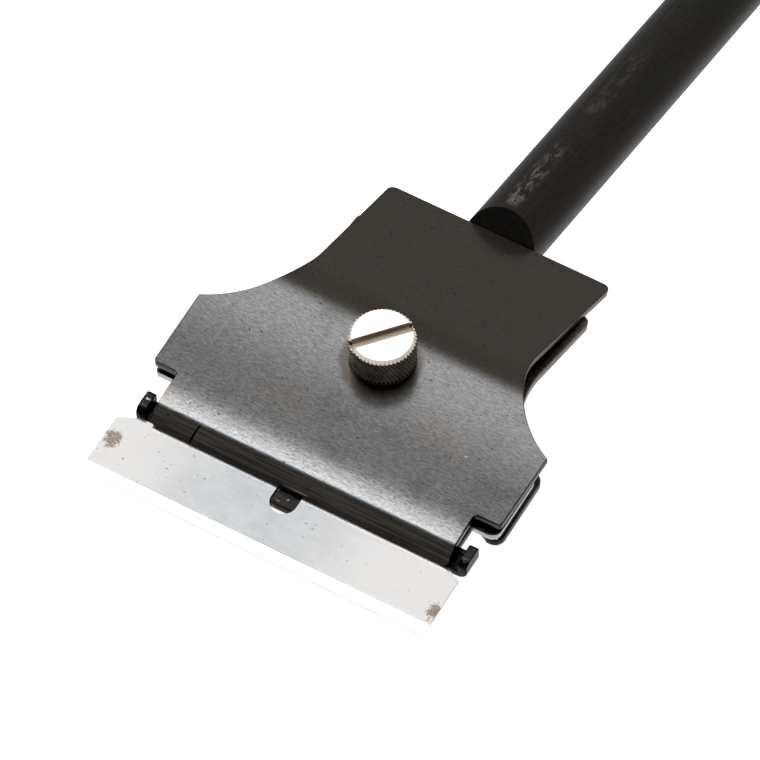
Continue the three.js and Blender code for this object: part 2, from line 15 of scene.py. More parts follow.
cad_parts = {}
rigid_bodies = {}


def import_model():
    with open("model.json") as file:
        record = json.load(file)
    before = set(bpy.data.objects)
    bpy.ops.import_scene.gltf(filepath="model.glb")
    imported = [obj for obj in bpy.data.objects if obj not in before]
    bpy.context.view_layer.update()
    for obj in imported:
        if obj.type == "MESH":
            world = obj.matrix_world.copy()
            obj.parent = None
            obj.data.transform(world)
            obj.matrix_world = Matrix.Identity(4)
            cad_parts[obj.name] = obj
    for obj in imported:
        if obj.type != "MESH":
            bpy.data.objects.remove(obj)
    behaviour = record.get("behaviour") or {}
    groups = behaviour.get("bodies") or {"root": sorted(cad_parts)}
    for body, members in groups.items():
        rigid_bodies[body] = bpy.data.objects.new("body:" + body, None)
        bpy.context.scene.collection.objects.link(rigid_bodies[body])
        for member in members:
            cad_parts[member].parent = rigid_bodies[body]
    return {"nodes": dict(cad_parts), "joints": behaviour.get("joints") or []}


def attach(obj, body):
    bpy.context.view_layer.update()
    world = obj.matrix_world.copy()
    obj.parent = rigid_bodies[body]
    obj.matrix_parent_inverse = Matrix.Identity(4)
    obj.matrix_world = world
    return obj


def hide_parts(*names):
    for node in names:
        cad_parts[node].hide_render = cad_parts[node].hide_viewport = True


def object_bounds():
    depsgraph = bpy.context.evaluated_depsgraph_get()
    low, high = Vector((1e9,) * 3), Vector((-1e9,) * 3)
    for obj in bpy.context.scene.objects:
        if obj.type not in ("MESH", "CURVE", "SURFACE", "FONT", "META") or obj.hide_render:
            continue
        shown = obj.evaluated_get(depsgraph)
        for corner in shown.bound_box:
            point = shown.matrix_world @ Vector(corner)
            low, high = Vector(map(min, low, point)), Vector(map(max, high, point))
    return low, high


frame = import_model()
cad_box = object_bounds()

# ---- dimensions, in millimetres ----

MM = 0.001
EDGE_DROP = 5.8
SCREW_ALONG = 24.7

ROD_RADIUS = 4
ROD_FRONT = 27.6
ROD_CHAMFER = 1.5
ROD_FLAT = 0.3
ROD_STEP = 48.1
ROD_STEP_SLOPE = 0.42
ROD_MIDDLE = 200
TAIL = {"start": 427.5, "radius": 2.5, "end": 435, "chamfer": 0.5, "pitch": 0.8, "depth": 0.3, "step": 0.16}

BASE_THICKNESS = 1
BASE_TOP = 1.35
BASE_BEND = 3
BASE_REAR = 43
BASE_REAR_HALF = 13.45
BASE_WAIST_HALF = 12.95
BASE_REAR_ROUND = 1
WING_HALF = 19.85
WING_FRONT = 14
WING_REAR = 21.25
WING_REAR_FLAT = 1.5
WING_ROUND = 1.1
EAR = {"inner": 16.9, "outer": 18.4, "front": 13.05}
TONGUE_FRONT = 6.25
TONGUE_HALF = 16.5
TONGUE_ROUND = 0.6
LUG = {"root": 15.5, "inner": 17.85, "front": 8.3, "rear": 10.75, "height": 1.5, "bend": 0.15}
LUG_ROUND = {"front": 0.8, "rear": 0.35}

SPACER_THICKNESS = 0.9
SPACER_GAP = 0.05
SPACER = {"half": 19.6, "left": 13.4, "right": 12.95, "side_end": 20.4, "rear": 25.8, "rear_corner": 2}
SPACER_SLOT = {"half": 15.2, "end": 19.5, "round": 0.8}
SPACER_ROUND = {"rear": 1.5, "side": 0.4, "right": 1, "mouth": 0.3}

CLAMP_THICKNESS = 0.9
CLAMP_TOP = 2.7
CLAMP_REAR = (48.3, 1.52)
CLAMP_RIDGE = 27.7
CLAMP_REAR_HALF = 12.85
CLAMP_WAIST_HALF = 12.5
CLAMP_REAR_ROUND = 0.8
CLAMP_HOLE = 2.2
FLARE_START = 32.5
SHOULDER = (19.9, 20.95)
NOTCH = {"outer": 19.75, "inner": 16.9, "rear": 12.22, "outer_round": 0.4, "inner_round": 0.5}
LIP = {"face": 7.85, "radius": 2.2, "bottom": 0.3, "corner": 1}
NOSE = {"along": 11.8, "slope": math.radians(8), "radius": 24}
LIP_BACK = 0.25
RIDGE_RADIUS = 13
SLIT = {"x": -12.5, "width": 0.24, "high": 2.5, "lean": 0.6}

HEAD = {"radius": 3.45, "bottom": 3.3, "top": 6.95, "chamfer": 0.37, "foot": 0.15, "foot_inset": 0.35}
KNURL = {"teeth": 50, "depth": 0.2, "slant": 0.5, "steps": 10, "points_per_tooth": 6}
SCREW = {"radius": 1.5, "end": -5.5, "point": 0.3, "point_inset": 0.35, "neck": 0.8}
SCREW_THREAD = {"pitch": 0.5, "depth": 0.22, "step": 0.1}
SCREW_GROOVE = {"radius": 1.15, "top": -4.5, "bottom": -5}
SLOT = {"width": 1.15, "depth": 0.75, "turn": math.radians(49)}
WASHER = {"outer": 3.4, "inner": 1.6, "bottom": 2.75, "top": 3.25}
BUSH_HOLE = 2.05
BASE_RIVETS = {"base_rivet_front": 31, "base_rivet_rear": 38}
BASE_RIVET_HOLE = 1.25
BASE_RIVET_HEAD = {"radius": 2.1, "level": -2.9}
SPACER_RIVETS = [(-17.4, 17.5), (17.4, 17.5), (-8.5, 23), (8.5, 23)]
SPACER_RIVET_HOLE = 0.85
ROUNDED = {"clamp": 0.09, "base": 0.1, "lug": 0.12, "spacer": 0.12, "washer": 0.1, "rod": 0.12}

# ---- frames ----


def joint(name):
    """A joint's row of the frame."""
    return next(j for j in frame["joints"] if j["name"] == name)


def placing(origin, y_axis, z_axis):
    """The matrix from a frame in millimetres to the row frame in metres."""
    turn = Matrix((Vector(y_axis).cross(Vector(z_axis)), y_axis, z_axis)).transposed()
    return Matrix.Translation(origin) @ turn.to_4x4() @ Matrix.Scale(MM, 4)


SEAT_NORMAL = Vector(joint("screw_turn")["axis"]).normalized()
SEAT_ALONG = Vector((0, SEAT_NORMAL.z, -SEAT_NORMAL.y))
SCREW_FOOT = Vector(joint("screw_turn")["pos_m"])
EDGE = SCREW_FOOT - SEAT_ALONG * SCREW_ALONG * MM
AXIS_START = EDGE + Vector((0, 0, EDGE_DROP * MM))
SEAT = placing(EDGE, SEAT_ALONG, SEAT_NORMAL)
TOOL = placing(AXIS_START, Vector((0, 1, 0)), Vector((0, 0, 1)))
ALONG_ROD = TOOL @ Matrix.Rotation(-math.pi / 2, 4, "X")
PITCH = math.atan2(-SEAT_NORMAL.y, SEAT_NORMAL.z)


def from_seat(along, above):
    """A point given in the seat frame, as (y, z) of the tool frame."""
    cos, sin = math.cos(PITCH), math.sin(PITCH)
    return along * cos - above * sin, along * sin + above * cos - EDGE_DROP


# ---- outlines and paths ----


def fillet(before, here, after, radius, step):
    """The arc that joins the lines before-here and here-after."""
    here = Vector(here)
    to_before = (Vector(before) - here).normalized()
    to_after = (Vector(after) - here).normalized()
    half = to_before.angle(to_after) / 2
    centre = here + (to_before + to_after).normalized() * (radius / math.sin(half))
    start = here + to_before * (radius / math.tan(half)) - centre
    end = here + to_after * (radius / math.tan(half)) - centre
    turn = math.atan2(start.x * end.y - start.y * end.x, start.dot(end))
    count = max(1, math.ceil(abs(turn) / math.radians(step)))
    points = []
    for k in range(count + 1):
        angle = turn * k / count
        cos, sin = math.cos(angle), math.sin(angle)
        points.append((centre.x + start.x * cos - start.y * sin, centre.y + start.x * sin + start.y * cos))
    return points


def outline(corners, step=12, closed=True):
    """Corners (a, b, radius) as a line of points, with arcs at the corners that have a radius."""
    points = []
    for i, (a, b, *radius) in enumerate(corners):
        inside = closed or 0 < i < len(corners) - 1
        if inside and radius and radius[0]:
            before = corners[i - 1][:2]
            after = corners[(i + 1) % len(corners)][:2]
            points += fillet(before, (a, b), after, radius[0], step)
        else:
            points.append((a, b))
    return points


def circle(x, y, radius, count=32):
    """A circle as a line of points."""
    turn = 2 * math.pi / count
    return [(x + radius * math.cos(k * turn), y + radius * math.sin(k * turn)) for k in range(count)]


def flare(side, start, tip, count=20):
    """The concave curve between a straight side and a pointed shoulder, as points from the shoulder back."""
    reach = tip[0] - side
    radius = (reach**2 + (tip[1] - start) ** 2) / (2 * reach)
    sweep = math.asin((start - tip[1]) / radius)
    angles = [sweep * k / count for k in range(count, -1, -1)]
    return [(side + radius * (1 - math.cos(a)), start - radius * math.sin(a)) for a in angles]


class Path:
    """A line of (y, z) points that a plate is bent along."""

    def __init__(self, corners):
        self.points = [Vector(p) for p in outline(corners, step=4, closed=False)]
        self.lengths = [0]
        for a, b in zip(self.points, self.points[1:]):
            self.lengths.append(self.lengths[-1] + (b - a).length)

    def length_at(self, y):
        """How far along the path its upper part reaches y."""
        for i in range(len(self.points) - 1, 0, -1):
            a, b = self.points[i - 1], self.points[i]
            if a.x <= y or i == 1:
                step = self.lengths[i] - self.lengths[i - 1]
                return self.lengths[i - 1] + step * (y - a.x) / (b.x - a.x)

    def run(self, i):
        """The path's direction at one of its points."""
        first = self.points[max(i - 1, 0)]
        last = self.points[min(i + 1, len(self.points) - 1)]
        return (last - first).normalized()

    def frame_at(self, length):
        """The point of the path at a length, its direction there and the normal of the plate's top."""
        i = 1
        while i < len(self.lengths) - 1 and self.lengths[i] < length:
            i += 1
        share = (length - self.lengths[i - 1]) / (self.lengths[i] - self.lengths[i - 1])
        foot = self.points[i - 1].lerp(self.points[i], share)
        run = self.run(i - 1).lerp(self.run(i), min(max(share, 0), 1)).normalized()
        return foot, run, Vector((-run.y, run.x))

    def bend(self, length, height):
        """The (y, z) of a point of the flat plate."""
        foot, _, normal = self.frame_at(length)
        return foot + normal * height

    def turn(self, length, vector):
        """A direction in the flat plate, as it points once the plate is bent."""
        _, run, normal = self.frame_at(length)
        y, z = run * vector.y + normal * vector.z
        return Vector((vector.x, y, z))


# ---- pieces ----


def add_object(name, mesh, place=Matrix()):
    """A new object with a mesh, moved from the frame it was drawn in."""
    mesh.transform(place)
    mesh.update()
    obj = bpy.data.objects.new(name, mesh)
    bpy.context.scene.collection.objects.link(obj)
    return obj


def settle(obj):
    """Applies the object's modifiers to its mesh."""
    depsgraph = bpy.context.evaluated_depsgraph_get()
    mesh = bpy.data.meshes.new_from_object(obj.evaluated_get(depsgraph))
    obj.modifiers.clear()
    old, obj.data = obj.data, mesh
    bpy.data.batch_remove([old])


def cut(obj, tool):
    """Cuts another object's shape out of obj, and removes that object."""
    modifier = obj.modifiers.new("cut", "BOOLEAN")
    modifier.operation = "DIFFERENCE"
    modifier.solver = "EXACT"
    modifier.object = tool
    settle(obj)
    bpy.data.objects.remove(tool)


def soften(obj, width, angle):
    """Rounds the edges over an angle in degrees by a width in metres."""
    modifier = obj.modifiers.new("edges", "BEVEL")
    modifier.width = width
    modifier.segments = 2
    modifier.limit_method = "ANGLE"
    modifier.angle_limit = math.radians(angle)
    settle(obj)


def shade(obj, angle):
    """Smooth faces, with the edges over an angle in degrees kept sharp."""
    obj.data.polygons.foreach_set("use_smooth", [True] * len(obj.data.polygons))
    obj.data.set_sharp_from_angle(angle=math.radians(angle))
    modifier = obj.modifiers.new("normals", "WEIGHTED_NORMAL")
    modifier.keep_sharp = True
    return obj


def piece(obj, body, slot, material, *replaced):
    """Finishes a piece: gives it its material, puts it on the body it rides on and hides the CAD nodes it
    stands for.
    """
    obj.data.materials.clear()
    obj.data.materials.append(material)
    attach(obj, body)
    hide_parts(*replaced)


def flat_plate(loops, thickness, rim):
    """A plate mesh in x and y with its top at z = 0 and rounded rims. Loops after the first are holes."""
    curve = bpy.data.curves.new("plate", "CURVE")
    curve.dimensions = "2D"
    curve.fill_mode = "BOTH"
    curve.extrude = thickness / 2 - rim
    curve.bevel_depth = rim
    curve.bevel_resolution = 2
    curve.offset = -rim / 2
    for loop in loops:
        spline = curve.splines.new("POLY")
        spline.points.add(len(loop) - 1)
        for point, (x, y) in zip(spline.points, loop):
            point.co = (x, y, 0, 1)
        spline.use_cyclic_u = True
    carrier = bpy.data.objects.new("plate", curve)
    bpy.context.scene.collection.objects.link(carrier)
    depsgraph = bpy.context.evaluated_depsgraph_get()
    mesh = bpy.data.meshes.new_from_object(carrier.evaluated_get(depsgraph))
    bpy.data.objects.remove(carrier)
    bpy.data.curves.remove(curve)
    mesh.transform(Matrix.Translation((0, 0, -thickness / 2)))
    return mesh


def bent_plate(name, loops, path, thickness, rim, place):
    """A plate whose y runs along a path, as one closed mesh."""
    mesh = flat_plate(loops, thickness, rim)
    bm = bmesh.new()
    bm.from_mesh(mesh)
    bmesh.ops.remove_doubles(bm, verts=bm.verts, dist=1e-4)
    for length in path.lengths[1:-1]:
        geometry = bm.verts[:] + bm.edges[:] + bm.faces[:]
        bmesh.ops.bisect_plane(bm, geom=geometry, dist=1e-5, plane_co=(0, length, 0), plane_no=(0, 1, 0))
    bmesh.ops.recalc_face_normals(bm, faces=bm.faces)
    bm.normal_update()
    turn = place.to_3x3()
    corners = [corner for face in bm.faces for corner in face.loops]
    normals = [turn @ path.turn(corner.vert.co.y, plate_normal(corner)) for corner in corners]
    for vert in bm.verts:
        y, z = path.bend(vert.co.y, vert.co.z)
        vert.co.y = y
        vert.co.z = z
    bm.to_mesh(mesh)
    bm.free()
    plate = add_object(name, mesh, place)
    mesh.polygons.foreach_set("use_smooth", [True] * len(mesh.polygons))
    mesh.normals_split_custom_set([normal.normalized() for normal in normals])
    return plate


def plate_normal(corner):
    """The normal at a face corner of a flat plate: exact on the flats, and smooth round the rim."""
    flat = 0.99
    same_bend = 0.6
    here = corner.face.normal
    if abs(here.z) > flat:
        return here
    rim = [face.normal for face in corner.vert.link_faces if abs(face.normal.z) < flat]
    return sum((normal for normal in rim if normal.dot(here) > same_bend), Vector()).normalized()


def turned(name, profile, place, segments=96, radius_at=None):
    """A solid turned about z from (radius, height) points, or a ring if they end where they start."""
    bm = bmesh.new()
    turn = 2 * math.pi / segments
    is_ring = profile[0] == profile[-1]
    rings = []
    for radius, height in profile[: -1 if is_ring else None]:
        if radius == 0:
            rings.append([bm.verts.new((0, 0, height))])
            continue
        ring = []
        for k in range(segments):
            r = radius_at(radius, height, k * turn) if radius_at else radius
            ring.append(bm.verts.new((r * math.cos(k * turn), r * math.sin(k * turn), height)))
        rings.append(ring)
    pairs = list(zip(rings, rings[1:]))
    if is_ring:
        pairs.append((rings[-1], rings[0]))
    for low, high in pairs:
        for k in range(segments):
            after = (k + 1) % segments
            lower = [low[k % len(low)], low[after % len(low)]]
            upper = [high[after % len(high)], high[k % len(high)]]
            bm.faces.new(dict.fromkeys(lower + upper))
    bmesh.ops.recalc_face_normals(bm, faces=bm.faces)
    mesh = bpy.data.meshes.new(name)
    bm.to_mesh(mesh)
    bm.free()
    return add_object(name, mesh, place)


def prism(name, points, low, high, place):
    """A prism of an outline in x and y, between two heights."""
    bm = bmesh.new()
    rings = [[bm.verts.new((x, y, z)) for x, y in points] for z in (low, high)]
    bm.faces.new(rings[0])
    bm.faces.new(rings[1])
    for k in range(len(points)):
        after = (k + 1) % len(points)
        bm.faces.new((rings[0][k], rings[0][after], rings[1][after], rings[1][k]))
    bmesh.ops.recalc_face_normals(bm, faces=bm.faces)
    mesh = bpy.data.meshes.new(name)
    bm.to_mesh(mesh)
    bm.free()
    return add_object(name, mesh, place)


# ---- material nodes ----


class Shader:
    """A material's node tree, with short calls for the nodes used here."""

    def __init__(self, name):
        self.material = bpy.data.materials.new(name)
        self.material.use_nodes = True
        self.tree = self.material.node_tree
        self.surface = self.tree.nodes["Principled BSDF"]

    def node(self, kind, **settings):
        """A new node with its properties set."""
        made = self.tree.nodes.new(kind)
        for key, value in settings.items():
            setattr(made, key, value)
        return made

    def feed(self, socket, value):
        """Links a socket to an input, or sets the input to a number or colour."""
        if isinstance(value, bpy.types.NodeSocket):
            self.tree.links.new(value, socket)
        else:
            socket.default_value = value

    def set(self, **values):
        """Feeds the inputs of the surface, named with _ for a space."""
        for key, value in values.items():
            self.feed(self.surface.inputs[key.replace("_", " ")], value)

    def coordinates(self, place):
        """Object coordinates in the millimetres of a frame."""
        inverse = place.inverted()
        mapping = self.node("ShaderNodeMapping")
        mapping.inputs["Location"].default_value = inverse.translation
        mapping.inputs["Rotation"].default_value = inverse.to_euler()
        mapping.inputs["Scale"].default_value = inverse.to_scale()
        self.feed(mapping.inputs["Vector"], self.node("ShaderNodeTexCoord").outputs["Object"])
        return mapping.outputs["Vector"]

    def stretched(self, vector, scale, offset=(0, 0, 0), turn=0):
        """vector, turned about z, scaled and moved."""
        mapping = self.node("ShaderNodeMapping")
        mapping.inputs["Location"].default_value = offset
        mapping.inputs["Rotation"].default_value = (0, 0, turn)
        mapping.inputs["Scale"].default_value = scale
        self.feed(mapping.inputs["Vector"], vector)
        return mapping.outputs["Vector"]

    def noise(self, vector, scale=1, detail=4, roughness=0.5, distortion=0):
        """A noise value in 0..1."""
        noise = self.node("ShaderNodeTexNoise")
        self.feed(noise.inputs["Vector"], vector)
        noise.inputs["Scale"].default_value = scale
        noise.inputs["Detail"].default_value = detail
        noise.inputs["Roughness"].default_value = roughness
        noise.inputs["Distortion"].default_value = distortion
        return noise.outputs["Fac"]

    def math(self, operation, a, b=0, clamp=False):
        """A sum, product or other operation on one or two values."""
        made = self.node("ShaderNodeMath", operation=operation, use_clamp=clamp)
        self.feed(made.inputs[0], a)
        self.feed(made.inputs[1], b)
        return made.outputs[0]

    def span(self, value, low, high, to_low=0, to_high=1, smooth=True):
        """value from low..high to to_low..to_high, held outside."""
        made = self.node("ShaderNodeMapRange", clamp=True)
        made.interpolation_type = "SMOOTHSTEP" if smooth else "LINEAR"
        for name, number in zip(("From Min", "From Max", "To Min", "To Max"), (low, high, to_low, to_high)):
            made.inputs[name].default_value = number
        self.feed(made.inputs["Value"], value)
        return made.outputs["Result"]

    def mix(self, share, a, b, blend="MIX"):
        """Colour a with a share of colour b."""
        made = self.node("ShaderNodeMix", data_type="RGBA", blend_type=blend)
        self.feed(made.inputs["Factor"], share)
        colours = [s for s in made.inputs if s.type == "RGBA"]
        self.feed(colours[0], a)
        self.feed(colours[1], b)
        return next(s for s in made.outputs if s.type == "RGBA")

    def parts(self, vector):
        """The x, y and z of a vector."""
        split = self.node("ShaderNodeSeparateXYZ")
        self.feed(split.inputs[0], vector)
        return split.outputs["X"], split.outputs["Y"], split.outputs["Z"]

    def distance(self, vector, point):
        """Distance from a point, in the units of vector."""
        made = self.node("ShaderNodeVectorMath", operation="DISTANCE")
        self.feed(made.inputs[0], vector)
        made.inputs[1].default_value = point
        return made.outputs["Value"]

    def bump(self, height, strength, distance):
        """Bends the surface's normals as if height, over 0..1, were a distance in millimetres."""
        made = self.node("ShaderNodeBump")
        made.inputs["Strength"].default_value = strength
        made.inputs["Distance"].default_value = distance * MM
        self.feed(made.inputs["Height"], height)
        self.feed(self.surface.inputs["Normal"], made.outputs["Normal"])


def grey(value, warmth=0.0):
    """A grey, browner with warmth."""
    return (value * (1 + warmth), value, value * (1 - warmth), 1)


def facet_tones(s, seat, along, grain):
    """Dark at the front, painted lighter toward the ridge as painted light for the shading that changes
    across the facet, clouded, and brown with faint arcs behind it.
    """
    arc_centre = (4, 36, 0)
    arcs_per_mm = 9
    brushed_share = s.span(grain, 0.38, 0.62)
    front = s.mix(brushed_share, (0.055, 0.056, 0.057, 1), (0.118, 0.12, 0.122, 1))
    paler = s.mix(brushed_share, (0.118, 0.12, 0.123, 1), (0.24, 0.243, 0.247, 1))
    # Painted light: the facet turns lighter from 16 to 26 mm along the seat, standing in for the shading
    # across the facet.
    tone = s.mix(s.span(along, 16, 26), front, paler)
    cloudy = s.noise(seat, scale=0.16, detail=5, roughness=0.6)
    warm = s.mix(1, tone, (1.05, 0.98, 0.9, 1), "MULTIPLY")
    tone = s.mix(s.span(cloudy, 0.5, 0.68, 0, 0.9), tone, warm)
    faded = s.mix(1, tone, grey(0.78), "MULTIPLY")
    tone = s.mix(s.span(cloudy, 0.48, 0.34, 0, 0.9), tone, faded)
    arcs = s.math("SINE", s.math("MULTIPLY", s.distance(seat, arc_centre), arcs_per_mm))
    turned_marks = s.math("ADD", grain, s.math("MULTIPLY", arcs, 0.014))
    behind = s.mix(s.span(turned_marks, 0.36, 0.64), (0.076, 0.066, 0.056, 1), (0.124, 0.107, 0.092, 1))
    return s.mix(s.span(along, 27, 29), tone, behind)


def lip_painted_reflection(s, seat, along, tone):
    """The lip: painted lighter than the facet above it as painted reflected light, with painted reflection
    streaks across it.
    """
    streaks = s.noise(s.stretched(seat, (0.15, 5, 5)), detail=4, roughness=0.6)
    # Painted reflection: a paler streaked tone on the lip, standing in for the room's light reflected in it.
    lip = s.mix(s.span(streaks, 0.38, 0.6), (0.15, 0.137, 0.12, 1), (0.32, 0.292, 0.255, 1))
    return s.mix(s.span(along, 9.3, 8.8), tone, lip)


def painted_shade_round_screw(s, seat, tone):
    """Painted shade: a ragged dark brown halo round the screw's foot, reaching furthest in front of it, for
    the head's shadow and reflection on the plate.
    """
    ragged = s.noise(seat, scale=0.9, detail=4, roughness=0.6)
    # Painted shade: brown darkening out to about 5 mm from a point just in front of the screw's foot.
    reach = s.math("ADD", s.distance(seat, (0, SCREW_ALONG - 0.5, CLAMP_TOP)), ragged)
    return s.mix(s.math("MULTIPLY", s.span(reach, 5.0, 4.3), 0.75), tone, (0.075, 0.06, 0.047, 1))


def specks_and_nicks(s, seat, tone):
    """A few black specks and short pale nicks."""
    specks = s.noise(s.stretched(seat, (1, 1, 1), offset=(4, 9, 1)), scale=2.4, detail=1, roughness=0.3)
    tone = s.mix(s.span(specks, 0.74, 0.79, 0, 0.8), tone, grey(0.015))
    nicked = s.stretched(seat, (0.8, 2.4, 1), offset=(31, 7, 3), turn=0.5)
    nicks = s.noise(nicked, detail=1, roughness=0.3)
    return s.mix(s.span(nicks, 0.825, 0.845, 0, 0.5), tone, grey(0.45))


def painted_shade_on_sides(s, tone):
    """Painted shade: a darker tone on the faces that look sideways, where the side walls fall into shade."""
    sideways, _, _ = s.parts(s.node("ShaderNodeTexCoord").outputs["Normal"])
    # Painted shade: faces whose normal points along x are darkened.
    side_shade_share = s.span(s.math("ABSOLUTE", sideways), 0.3, 0.7, 0, 0.75)
    return s.mix(side_shade_share, tone, (0.02, 0.018, 0.016, 1))


def blued_sheet():
    """The clamp plate: dark oxide on brushed sheet steel, painted lighter toward the ridge, with a painted
    reflection on the lip, painted shade round the screw and on the sideways rims, and specks and nicks.
    """
    s = Shader("blued_sheet")
    seat = s.coordinates(SEAT)
    _, along, _ = s.parts(seat)
    brushed = s.noise(s.stretched(seat, (1.2, 7, 7)), detail=6, roughness=0.75, distortion=0.3)
    fine = s.noise(s.stretched(seat, (3, 18, 18), turn=0.08), detail=3, roughness=0.6)
    grain = s.math("ADD", s.math("MULTIPLY", brushed, 0.5), s.math("MULTIPLY", fine, 0.5))
    tone = facet_tones(s, seat, along, grain)
    tone = lip_painted_reflection(s, seat, along, tone)
    tone = painted_shade_round_screw(s, seat, tone)
    tone = specks_and_nicks(s, seat, tone)
    tone = painted_shade_on_sides(s, tone)
    s.set(Base_Color=tone, Metallic=1.0, Roughness=s.span(grain, 0.36, 0.64, 0.2, 0.25))
    s.bump(grain, 0.2, 0.012)
    return s.material


def base_steel():
    """The base sheet: browner oxide with pale nicks, almost black at the front."""
    s = Shader("base_sheet")
    seat = s.coordinates(SEAT)
    _, along, _ = s.parts(seat)
    brushed = s.noise(s.stretched(seat, (0.3, 4, 6)), detail=6, roughness=0.6)
    nicks = s.noise(seat, scale=1.7, detail=3, roughness=0.6)
    front = s.mix(s.span(brushed, 0.3, 0.7), grey(0.009, 0.1), grey(0.02, 0.08))
    rear = s.mix(s.span(brushed, 0.3, 0.7), grey(0.09, 0.12), grey(0.16, 0.1))
    tone = s.mix(s.span(along, 13, 24), front, rear)
    tone = s.mix(s.span(nicks, 0.62, 0.72, 0, 0.7), tone, grey(0.45, 0.02))
    s.set(Base_Color=tone, Metallic=1.0, Roughness=s.span(brushed, 0.3, 0.7, 0.26, 0.4))
    s.bump(brushed, 0.2, 0.03)
    return s.material


def spacer_shade_and_highlight():
    """The middle sheet: painted shade on its faces, which lie in shadow under the clamp, and a painted
    highlight round its sheared edge.
    """
    s = Shader("spacer_sheet")
    seat = s.coordinates(SEAT)
    _, _, above = s.parts(seat)
    streaks = s.noise(s.stretched(seat, (0.8, 0.8, 7)), detail=5, roughness=0.6)
    middle = s.math("ABSOLUTE", s.math("SUBTRACT", above, SPACER_GAP + SPACER_THICKNESS / 2))
    dark = s.mix(s.span(streaks, 0.3, 0.7), grey(0.03, 0.1), grey(0.06, 0.1))
    edge = s.mix(s.span(streaks, 0.35, 0.65), grey(0.5, 0.02), grey(0.9, 0.01))
    # Painted light: dark on the top and bottom faces as painted shade, bright round the rim as painted
    # highlight.
    tone = s.mix(s.span(middle, SPACER_THICKNESS / 2 - 0.02, SPACER_THICKNESS / 2 - 0.07), dark, edge)
    s.set(Base_Color=tone, Metallic=1.0, Roughness=s.span(streaks, 0.3, 0.7, 0.2, 0.34))
    s.bump(streaks, 0.2, 0.02)
    return s.material


def rod_steel():
    """Black satin oxide, with a fine turned grain and brown scuffs near the step."""
    s = Shader("rod_steel")
    tool = s.coordinates(TOOL)
    sideways, along, _ = s.parts(tool)
    grain = s.noise(s.stretched(tool, (1.2, 6, 1.2)), detail=5, roughness=0.6)
    drawn = s.noise(s.stretched(tool, (5, 0.12, 5)), detail=4, roughness=0.6)
    tone = s.mix(s.span(grain, 0.3, 0.7), grey(0.016, 0.06), grey(0.03, 0.1))
    tone = s.mix(s.span(drawn, 0.4, 0.75, 0, 0.5), tone, grey(0.04, 0.12))
    scuff_noise = s.noise(s.stretched(tool, (1.6, 0.6, 1.6)), detail=6, roughness=0.75)
    near_step = s.math("MULTIPLY", s.span(along, 50, 51.5), s.span(along, 64, 57))
    higher = s.math("MULTIPLY", s.span(along, 66, 70), s.span(along, 84, 76))
    zone = s.math("ADD", near_step, s.math("MULTIPLY", higher, 0.25), clamp=True)
    strip = s.span(s.math("ABSOLUTE", s.math("ADD", sideways, 0.5)), 1.2, 0.3)
    scuffs = s.math("MULTIPLY", s.span(scuff_noise, 0.47, 0.62), s.math("MULTIPLY", zone, strip))
    tone = s.mix(scuffs, tone, (0.26, 0.215, 0.18, 1))
    s.set(Base_Color=tone, Metallic=0.85, Roughness=s.span(grain, 0.3, 0.7, 0.34, 0.46))
    s.bump(s.math("ADD", grain, drawn), 0.12, 0.04)
    return s.material


def blade_rust(s, seat):
    """Two patches of rust near the blade's short sides and a few flecks: how much, and its tone."""
    upper_patch = (-19.4, 4.7, 0)
    lower_patch = (18.5, 2.9, 0)
    ragged = s.noise(s.stretched(seat, (1, 1, 1), offset=(0.4, 0.3, 0)), scale=2.2, detail=8, roughness=0.8)
    near = s.math("MINIMUM", s.distance(seat, upper_patch), s.distance(seat, lower_patch))
    rust = s.span(s.math("ADD", ragged, s.span(near, 0.4, 2.1, 0.24, -0.1)), 0.6, 0.68)
    flecks = s.noise(s.stretched(seat, (1, 1, 1), offset=(5, 11, 2)), scale=2, detail=2, roughness=0.4)
    rust = s.math("MAXIMUM", rust, s.span(flecks, 0.72, 0.76, 0, 0.8))
    return rust, s.mix(s.span(ragged, 0.4, 0.6), (0.05, 0.035, 0.026, 1), (0.2, 0.145, 0.11, 1))


def blade_steel():
    """Ground steel with a polished bevel painted near-white as a painted highlight, a bluish edge line,
    faint grinding lines and rust.
    """
    bevel_end = 1.26
    s = Shader("blade_steel")
    seat = s.coordinates(SEAT)
    across, along, _ = s.parts(seat)
    ground = s.noise(s.stretched(seat, (0.35, 9, 3)), detail=5, roughness=0.6)
    cloudy = s.noise(seat, scale=0.25, detail=4, roughness=0.6)
    middle = s.math("ABSOLUTE", s.math("ADD", across, 3))
    tone = s.mix(s.span(middle, 3, 15), (0.318, 0.333, 0.344, 1), (0.445, 0.437, 0.43, 1))
    tone = s.mix(s.span(cloudy, 0.35, 0.65, 0, 0.25), tone, grey(0.46))
    tone = s.mix(s.span(ground, 0.35, 0.7, 0, 0.2), tone, grey(0.48))
    # Polished bevel, painted near-white as a painted highlight of the light on it.
    tone = s.mix(s.span(along, bevel_end + 0.1, bevel_end), tone, grey(0.9))
    tone = s.mix(s.span(along, 0.22, 0.12), tone, (0.19, 0.24, 0.275, 1))
    rust, rust_tone = blade_rust(s, seat)
    tone = s.mix(s.math("MULTIPLY", rust, 0.85), tone, rust_tone)
    rough = s.math("ADD", s.span(ground, 0.3, 0.7, 0.17, 0.22), s.math("MULTIPLY", rust, 0.3))
    s.set(Base_Color=tone, Metallic=1.0, Roughness=rough)
    s.bump(s.math("ADD", ground, s.math("MULTIPLY", rust, -0.8)), 0.1, 0.02)
    return s.material


def slot_dirt(s, above, stain):
    """Brown dirt on the slot's walls, and paler dirt on its floor."""
    floor = HEAD["top"] - SLOT["depth"]
    wall = s.mix(s.span(stain, 0.3, 0.7), (0.2, 0.145, 0.09, 1), (0.34, 0.24, 0.14, 1))
    return s.mix(s.span(above, floor + 0.1, floor + 0.02), wall, (0.5, 0.43, 0.34, 1))


